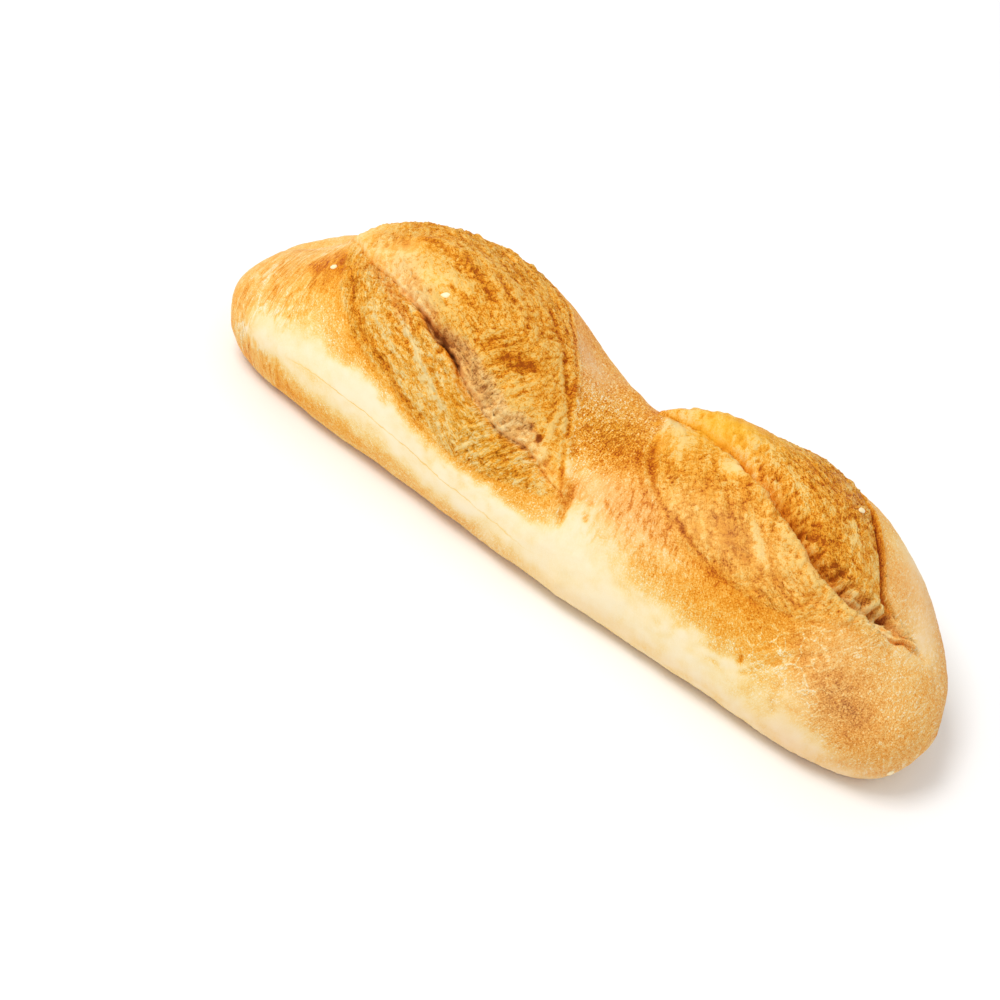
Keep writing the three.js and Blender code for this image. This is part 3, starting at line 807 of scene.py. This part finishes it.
def bubble_walls(vector, scale, warp, wall=0.22):
    """1 on the walls between small bubbles, 0 inside them."""
    bend = new_node("TexNoise", {"Vector": vector, "Scale": scale * 1.7}).outputs["Color"]
    reach = (warp / scale, warp / scale, warp / scale)
    bent = new_node("VectorMath", {0: bend, 1: reach, 2: vector}, operation="MULTIPLY_ADD").outputs[0]
    bubbles = new_node("TexVoronoi", {"Vector": bent, "Scale": scale}, feature="DISTANCE_TO_EDGE")
    return step(bubbles.outputs["Distance"], wall, 0.0)


def drawn_map(lean, scale):
    """Places over the skin for a pattern that leans so many degrees, this long and wide in mm."""
    sockets = {"Vector": skin_map, "Rotation": (0, 0, radians(lean)), "Scale": (*scale, 1)}
    return new_node("Mapping", sockets, vector_type="TEXTURE").outputs[0]


def new_material(name):
    made = bpy.data.materials.new(name)
    made.use_nodes = True
    tree = made.node_tree
    return made, tree.nodes, tree.links, tree.nodes["Principled BSDF"]


# Fine grain, shared by crust and hulls: three sizes of mottling, each -0.5 to 0.5.
FINE_GRAIN = {"Mottle": (330, 3), "Grain": (900, 2), "Speck": (2700, 1.5)}
fine_grain = bpy.data.node_groups.new("fine_grain", "ShaderNodeTree")
fine_grain.interface.new_socket("Place", in_out="INPUT", socket_type="NodeSocketVector")
for name in FINE_GRAIN:
    fine_grain.interface.new_socket(name, in_out="OUTPUT", socket_type="NodeSocketFloat")
nodes, links = fine_grain.nodes, fine_grain.links
entry = nodes.new("NodeGroupInput")
result = nodes.new("NodeGroupOutput")
for name, (scale, detail) in FINE_GRAIN.items():
    links.new(noise_at(entry.outputs["Place"], scale, detail, 0.6, 0.4), result.inputs[name])

# Its crust: cream where it is floury, gold to brown where it is baked.
crust, nodes, links, shader = new_material("baked_crust")
place = nodes.new("ShaderNodeTexCoord").outputs["Object"]
dough = new_node("Group", {"Place": place}, node_tree=fine_grain)
mottle, grains, specks = (dough.outputs[name] for name in FINE_GRAIN)
broad = noise_at(place, 110.0, 2)
skin_map = attribute("skin_map", "Vector")
shares = list(new_node("SeparateXYZ", {0: attribute("streak_shares", "Vector")}).outputs)
shares.append(math("SUBTRACT", 1.0, total(*shares)))
STREAK_SIZE = (5.0, 1.3)
streaks, cracks, threads = 0.0, 0.0, 0.0
for share, way in zip(shares, STREAK_WAYS):
    drawn = drawn_map(way, STREAK_SIZE)
    streak = noise_at(drawn, 1.0, 3, 0.62, 1.3)
    streaks = math("MULTIPLY_ADD", share, streak, streaks)
    cracks = math("MULTIPLY_ADD", share, lines_on(streak, 0.045), cracks)
    threads = math("MULTIPLY_ADD", share, noise_at(drawn, 2.7, 2, 0.6, 0.4), threads)

RING_LEAN = -84
CRACKLE_LEAN = -74
ring_lines = lines_on(noise_at(drawn_map(RING_LEAN, (16, 3.0)), 1.0, 2, 0.5, 1.4), 0.04)
ring_lines = math("MULTIPLY", ring_lines, attribute("rings"))
crackle_map = drawn_map(CRACKLE_LEAN, (3.0, 1.2))
crackle = math("MULTIPLY", bubble_walls(crackle_map, 1.0, 0.9, 0.3), attribute("crackled"))
crackle = math("MULTIPLY", crackle, step(noise_at(crackle_map, 0.7, 2), -0.12, 0.1))
walls = bubble_walls(place, 520.0, 0.8)
gaps = bubble_walls(place, 1350.0, 0.9)
browning_and_shade, blush = attribute("browning_and_shade"), attribute("blush")
torn = step(total(attribute("torn"), (mottle, 1.2), (grains, 0.8)), 0.25, 0.75)
whole = math("SUBTRACT", 1.0, torn)
grainy, creased, rugged, stretch = (attribute(name) for name in ("grainy", "creased", "rugged", "stretch"))
web = math("MULTIPLY", attribute("web"), bubble_walls(place, 190.0, 1.1, 0.1))
blotches = step(noise_at(place, 430.0, 2, 0.5, 0.6), 0.05, 0.2)


def darker(value):
    """Browning that sits in thin lines and dots: what is paler than the rest is only a little paler."""
    return math("MULTIPLY_ADD", math("MAXIMUM", value, 0.0), 0.6, math("MULTIPLY", value, 0.7))


thread_cracks = lines_on(threads, 0.06)
flakes = math("MULTIPLY", walls, attribute("flaky"))
streak_tone = total((streaks, -1.2), (cracks, 0.26), (threads, -1.3), (thread_cracks, 0.12))
streak_tone = math("MULTIPLY", streak_tone, stretch)
torn_tone = total(
    (mottle, 0.3), (grains, 0.6), (specks, 1.3), streak_tone, (blotches, 0.12), (flakes, 0.22),
    (gaps, -0.07), -0.06,
)
torn_tone = math("MULTIPLY", darker(torn_tone), total((rugged, 0.75), 0.25))
fine_tone = total(
    (mottle, 0.3), (grains, 0.8), (specks, 1.5), (threads, -1.3), (thread_cracks, 0.16), (gaps, 0.3),
    -0.12,
)
fine_tone = math("MULTIPLY", fine_tone, grainy)
line_tone = math("MULTIPLY", total((streaks, -0.6), (cracks, 0.22)), creased)
swirls = math("MULTIPLY", noise_at(drawn_map(RING_LEAN, (7, 2.4)), 1.0, 3, 0.6, 1.2), attribute("rings"))
skin_tone = total(fine_tone, line_tone, (swirls, 1.5), (web, -0.4), (ring_lines, 0.24), (crackle, 0.44))
crease = lines_on(total(attribute("crease"), (noise_at(place, 500.0, 2), 1.2)), 0.32)
crease = math("MULTIPLY", crease, attribute("crease_share"))
skin_tone = math("MULTIPLY", skin_tone, whole)
tone = total(browning_and_shade, (broad, 0.16), math("MULTIPLY", torn_tone, torn), skin_tone, (crease, 0.34))
# Torn crust never stays quite as pale as floured skin.
palest = math("MULTIPLY", torn, total((math("MULTIPLY", attribute("flaky"), rugged), 0.16), 0.17))
tone = math("SMOOTH_MAX", tone, palest, 0.12)


def srgb(*parts):
    """Red, green and blue from 0 to 255, as the linear colour that a node takes."""
    shares = [part / 255 for part in parts]
    return (*(c / 12.92 if c <= 0.04045 else ((c + 0.055) / 1.055) ** 2.4 for c in shares), 1.0)


GLOSS = 0.07
DARKEST = 1.3
PINK = srgb(234, 181, 134)
YELLOW_GOLD = srgb(244, 186, 40)
BAKE_COLOURS = [
    (0, (249, 234, 199)), (0.1, (246, 222, 166)), (0.2, (244, 210, 137)), (0.3, (243, 199, 114)),
    (0.4, (243, 188, 92)), (0.5, (242, 177, 74)), (0.6, (240, 166, 56)), (0.7, (234, 154, 42)),
    (0.8, (226, 141, 30)), (0.9, (216, 127, 20)), (1, (204, 112, 13)), (1.15, (184, 89, 7)),
    (1.3, (160, 66, 4)),
]
CRUMB_AND_END_SHADE_COLOURS = [
    (0.15, (254, 224, 166)), (0.48, (245, 201, 134)), (0.75, (232, 184, 114)), (1.05, (208, 156, 90)),
    (1.3, (165, 112, 60)),
]


def coloured(value, colours, most=1.0):
    """The colour that each value has, from 0 to the most."""
    made = new_node("ValToRGB", {"Fac": math("MULTIPLY", value, 1 / most)})
    while len(made.color_ramp.elements) < len(colours):
        made.color_ramp.elements.new(0.5)
    for element, (position, colour) in zip(made.color_ramp.elements, colours):
        element.position = position / most
        element.color = srgb(*colour)
    return made.outputs["Color"]


def tinted(colour, tint, amount):
    sockets = {"A": colour, "B": tint, "Factor": amount}
    return new_node("Mix", sockets, data_type="RGBA").outputs["Result"]


pinker = math("MULTIPLY", blush, total((step(tone, 0.5, 0.9), -0.35), 0.5), limit=True)
colour = tinted(coloured(tone, BAKE_COLOURS, DARKEST), PINK, pinker)
colour = tinted(colour, YELLOW_GOLD, math("MULTIPLY", blush, -0.5, limit=True))
# The grey tan tint: the crumb's own colour, and painted shade on the right end.
crumb_tan_and_end_shade = math("MULTIPLY", attribute("tan_and_end_shade"), total((mottle, 1.0), (grains, 0.6), 0.7), limit=True)
colour = tinted(colour, coloured(tone, CRUMB_AND_END_SHADE_COLOURS, DARKEST), crumb_tan_and_end_shade)
links.new(colour, shader.inputs["Base Color"])

streak_height = total((streaks, 0.9), (cracks, -0.4), (threads, 0.8), (thread_cracks, -0.15))
streak_height = math("MULTIPLY", streak_height, stretch)
torn_height = total(
    (mottle, 0.3), (grains, 0.45), (specks, 0.35), streak_height, (blotches, -0.15), (flakes, -0.4),
    (gaps, 0.1),
)
torn_height = math("MULTIPLY", torn_height, total((rugged, 0.75), 0.25))
fine_height = total((mottle, 0.2), (grains, 0.5), (specks, 0.7), (threads, 0.7), (gaps, -0.2))
fine_height = math("MULTIPLY", fine_height, grainy)
line_height = math("MULTIPLY", total((streaks, 0.8), (cracks, -0.25)), creased)
skin_height = total(fine_height, line_height, (web, 0.4), (ring_lines, -0.3), (crackle, -0.3))
height = total(math("MULTIPLY", torn_height, torn), math("MULTIPLY", skin_height, whole), (crease, -0.2))


def bumped(height, depth, strength):
    sockets = {"Height": height, "Distance": depth * MM, "Strength": strength}
    links.new(new_node("Bump", sockets).outputs["Normal"], shader.inputs["Normal"])


bumped(height, depth=0.28, strength=1.0)
links.new(total((torn, 0.06), (mottle, 0.3), 0.46), shader.inputs["Roughness"])
shader.inputs["Specular IOR Level"].default_value = GLOSS
loaf.data.materials.append(crust)

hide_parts("loaf")
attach(loaf, "root")

# ------------------------------------------------
# The sesame seeds: four stray hulled seeds from the baker's table, baked onto the crust. Each is
# a flat drop, pointed at one end, pressed a little into the skin. Lengths are in millimetres.

# Place along the loaf, angle, heading and length of each.
SEEDS = [(-50, 70, 30, 2.7), (-84, 72, 70, 2.2), (66, 105, -60, 2.9), (107.6, -12, 80, 2.5)]
SEED_WIDTH = 1.7
SEED_THICKNESS = 0.9
SEED_LIFT = 0.12
SEED_TAPER = 0.55
HULL_COLOURS = [(0, (255, 244, 204)), (1, (246, 214, 146))]
bpy.ops.object.select_all(action="DESELECT")
seeds = []
for seed_x, seed_angle, heading, length in SEEDS:
    off = (x - seed_x) ** 2 + ((angle - seed_angle) * per_degree) ** 2
    rest = loaf.data.vertices[int(np.argmin(off))]
    bpy.ops.mesh.primitive_uv_sphere_add(segments=20, ring_count=12, radius=0.5, rotation=(0, pi / 2, 0))
    seed = bpy.context.object
    bpy.ops.object.transform_apply(location=False, rotation=True, scale=False)
    along = Vector((1, 0, 0))
    if abs(rest.normal.z) < 0.99:
        along = rest.normal.cross(Vector((0, 0, 1))).normalized()
    along = Matrix.Rotation(radians(heading), 3, rest.normal) @ along
    turn = Matrix((along, rest.normal.cross(along), rest.normal)).transposed()
    for point in seed.data.vertices:
        taper = 1 - SEED_TAPER * max(point.co.x + 0.1, 0) ** 1.2
        raised = (point.co.z * SEED_THICKNESS + SEED_LIFT) * taper
        shaped = Vector((point.co.x * length, point.co.y * SEED_WIDTH * taper, raised))
        shaped.z += 0.04 * noise.noise(shaped * 2 + Vector((seed_x, 0, 0)))
        point.co = rest.co + turn @ shaped * MM
    seeds.append(seed)
for seed in seeds:
    seed.select_set(True)
bpy.context.view_layer.objects.active = seeds[0]
bpy.ops.object.join()
sesame = bpy.context.object
sesame.name = "sesame_seeds"
bpy.ops.object.transform_apply(location=True, rotation=True, scale=True)
bpy.ops.object.shade_smooth()

hull, nodes, links, shader = new_material("sesame_hull")
place = nodes.new("ShaderNodeTexCoord").outputs["Object"]
dough = new_node("Group", {"Place": place}, node_tree=fine_grain)
tone = total((dough.outputs["Mottle"], 1.6), (dough.outputs["Speck"], 0.8), 0.4)
links.new(coloured(tone, HULL_COLOURS), shader.inputs["Base Color"])
links.new(total((dough.outputs["Grain"], 0.4), 0.42), shader.inputs["Roughness"])
bumped(dough.outputs["Grain"], depth=0.1, strength=0.5)
sesame.data.materials.append(hull)

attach(sesame, "root")

# ------------------------------------------------
# The table: a plain pale board that the loaf lies on. It is sawn wide enough to reach out of sight,
# and painted with one faintly uneven coat. Lengths from here on are in metres.

BOARD_SIZE = 6
bpy.ops.object.select_all(action="DESELECT")
bpy.ops.mesh.primitive_plane_add(size=BOARD_SIZE)
floor = bpy.context.object
floor.name = "floor"
paint, nodes, links, shader = new_material("pale_paint")
coat = noise_at(nodes.new("ShaderNodeTexCoord").outputs["Object"], 9.0, 4)
ramp = new_node("ValToRGB", {"Fac": total(coat, 0.5)})
ramp.color_ramp.elements[0].color = (0.93, 0.93, 0.93, 1)
ramp.color_ramp.elements[1].color = (0.96, 0.96, 0.96, 1)
links.new(ramp.outputs["Color"], shader.inputs["Base Color"])
links.new(total((coat, 0.1), 0.8), shader.inputs["Roughness"])
floor.data.materials.append(paint)

# ------------------------------------------------
# Light and camera: the white walls of a bright room light the loaf evenly, and one soft square
# lamp hangs above it, towards the camera's left. The camera looks down from the front.

ROOM_BRIGHTNESS = 0.725
LAMP_OFFSET = Vector((-0.35, -0.4, 1.2))
LAMP_SIZE = 0.5
LAMP_POWER = 9
AZIMUTH, ELEVATION, ROLL = radians(27), radians(45), radians(16.13)
TARGET = Vector((-0.01028, -0.03079, 0.020))
DISTANCE = 0.75
FOCAL_LENGTH = 106.5

scene = bpy.context.scene
scene.view_settings.view_transform = "Standard"
world = bpy.data.worlds.new("bright_room")
scene.world = world
world.use_nodes = True
room = world.node_tree.nodes["Background"]
room.inputs["Color"].default_value = (1, 1, 1, 1)
room.inputs["Strength"].default_value = ROOM_BRIGHTNESS

middle = (cad_box[0] + cad_box[1]) / 2
bpy.ops.object.light_add(type="AREA", location=middle + LAMP_OFFSET)
key_light = bpy.context.object
key_light.name = "key_light"
key_light.data.size = LAMP_SIZE
key_light.data.energy = LAMP_POWER
key_light.rotation_euler = (middle - key_light.location).to_track_quat("-Z", "Y").to_euler()

back = Vector((sin(AZIMUTH) * cos(ELEVATION), -cos(AZIMUTH) * cos(ELEVATION), sin(ELEVATION)))
right = Vector((cos(AZIMUTH), sin(AZIMUTH), 0))
up = back.cross(right)
bpy.ops.object.camera_add()
camera = bpy.context.object
camera.name = "camera"
camera.data.sensor_width = 36
camera.data.lens = FOCAL_LENGTH
camera.data.clip_start = 0.01
turned_right = right * cos(ROLL) + up * sin(ROLL)
turned_up = up * cos(ROLL) - right * sin(ROLL)
turn = Matrix((turned_right, turned_up, back)).transposed()
camera.matrix_world = Matrix.Translation(TARGET + back * DISTANCE) @ turn.to_4x4()
scene.camera = camera
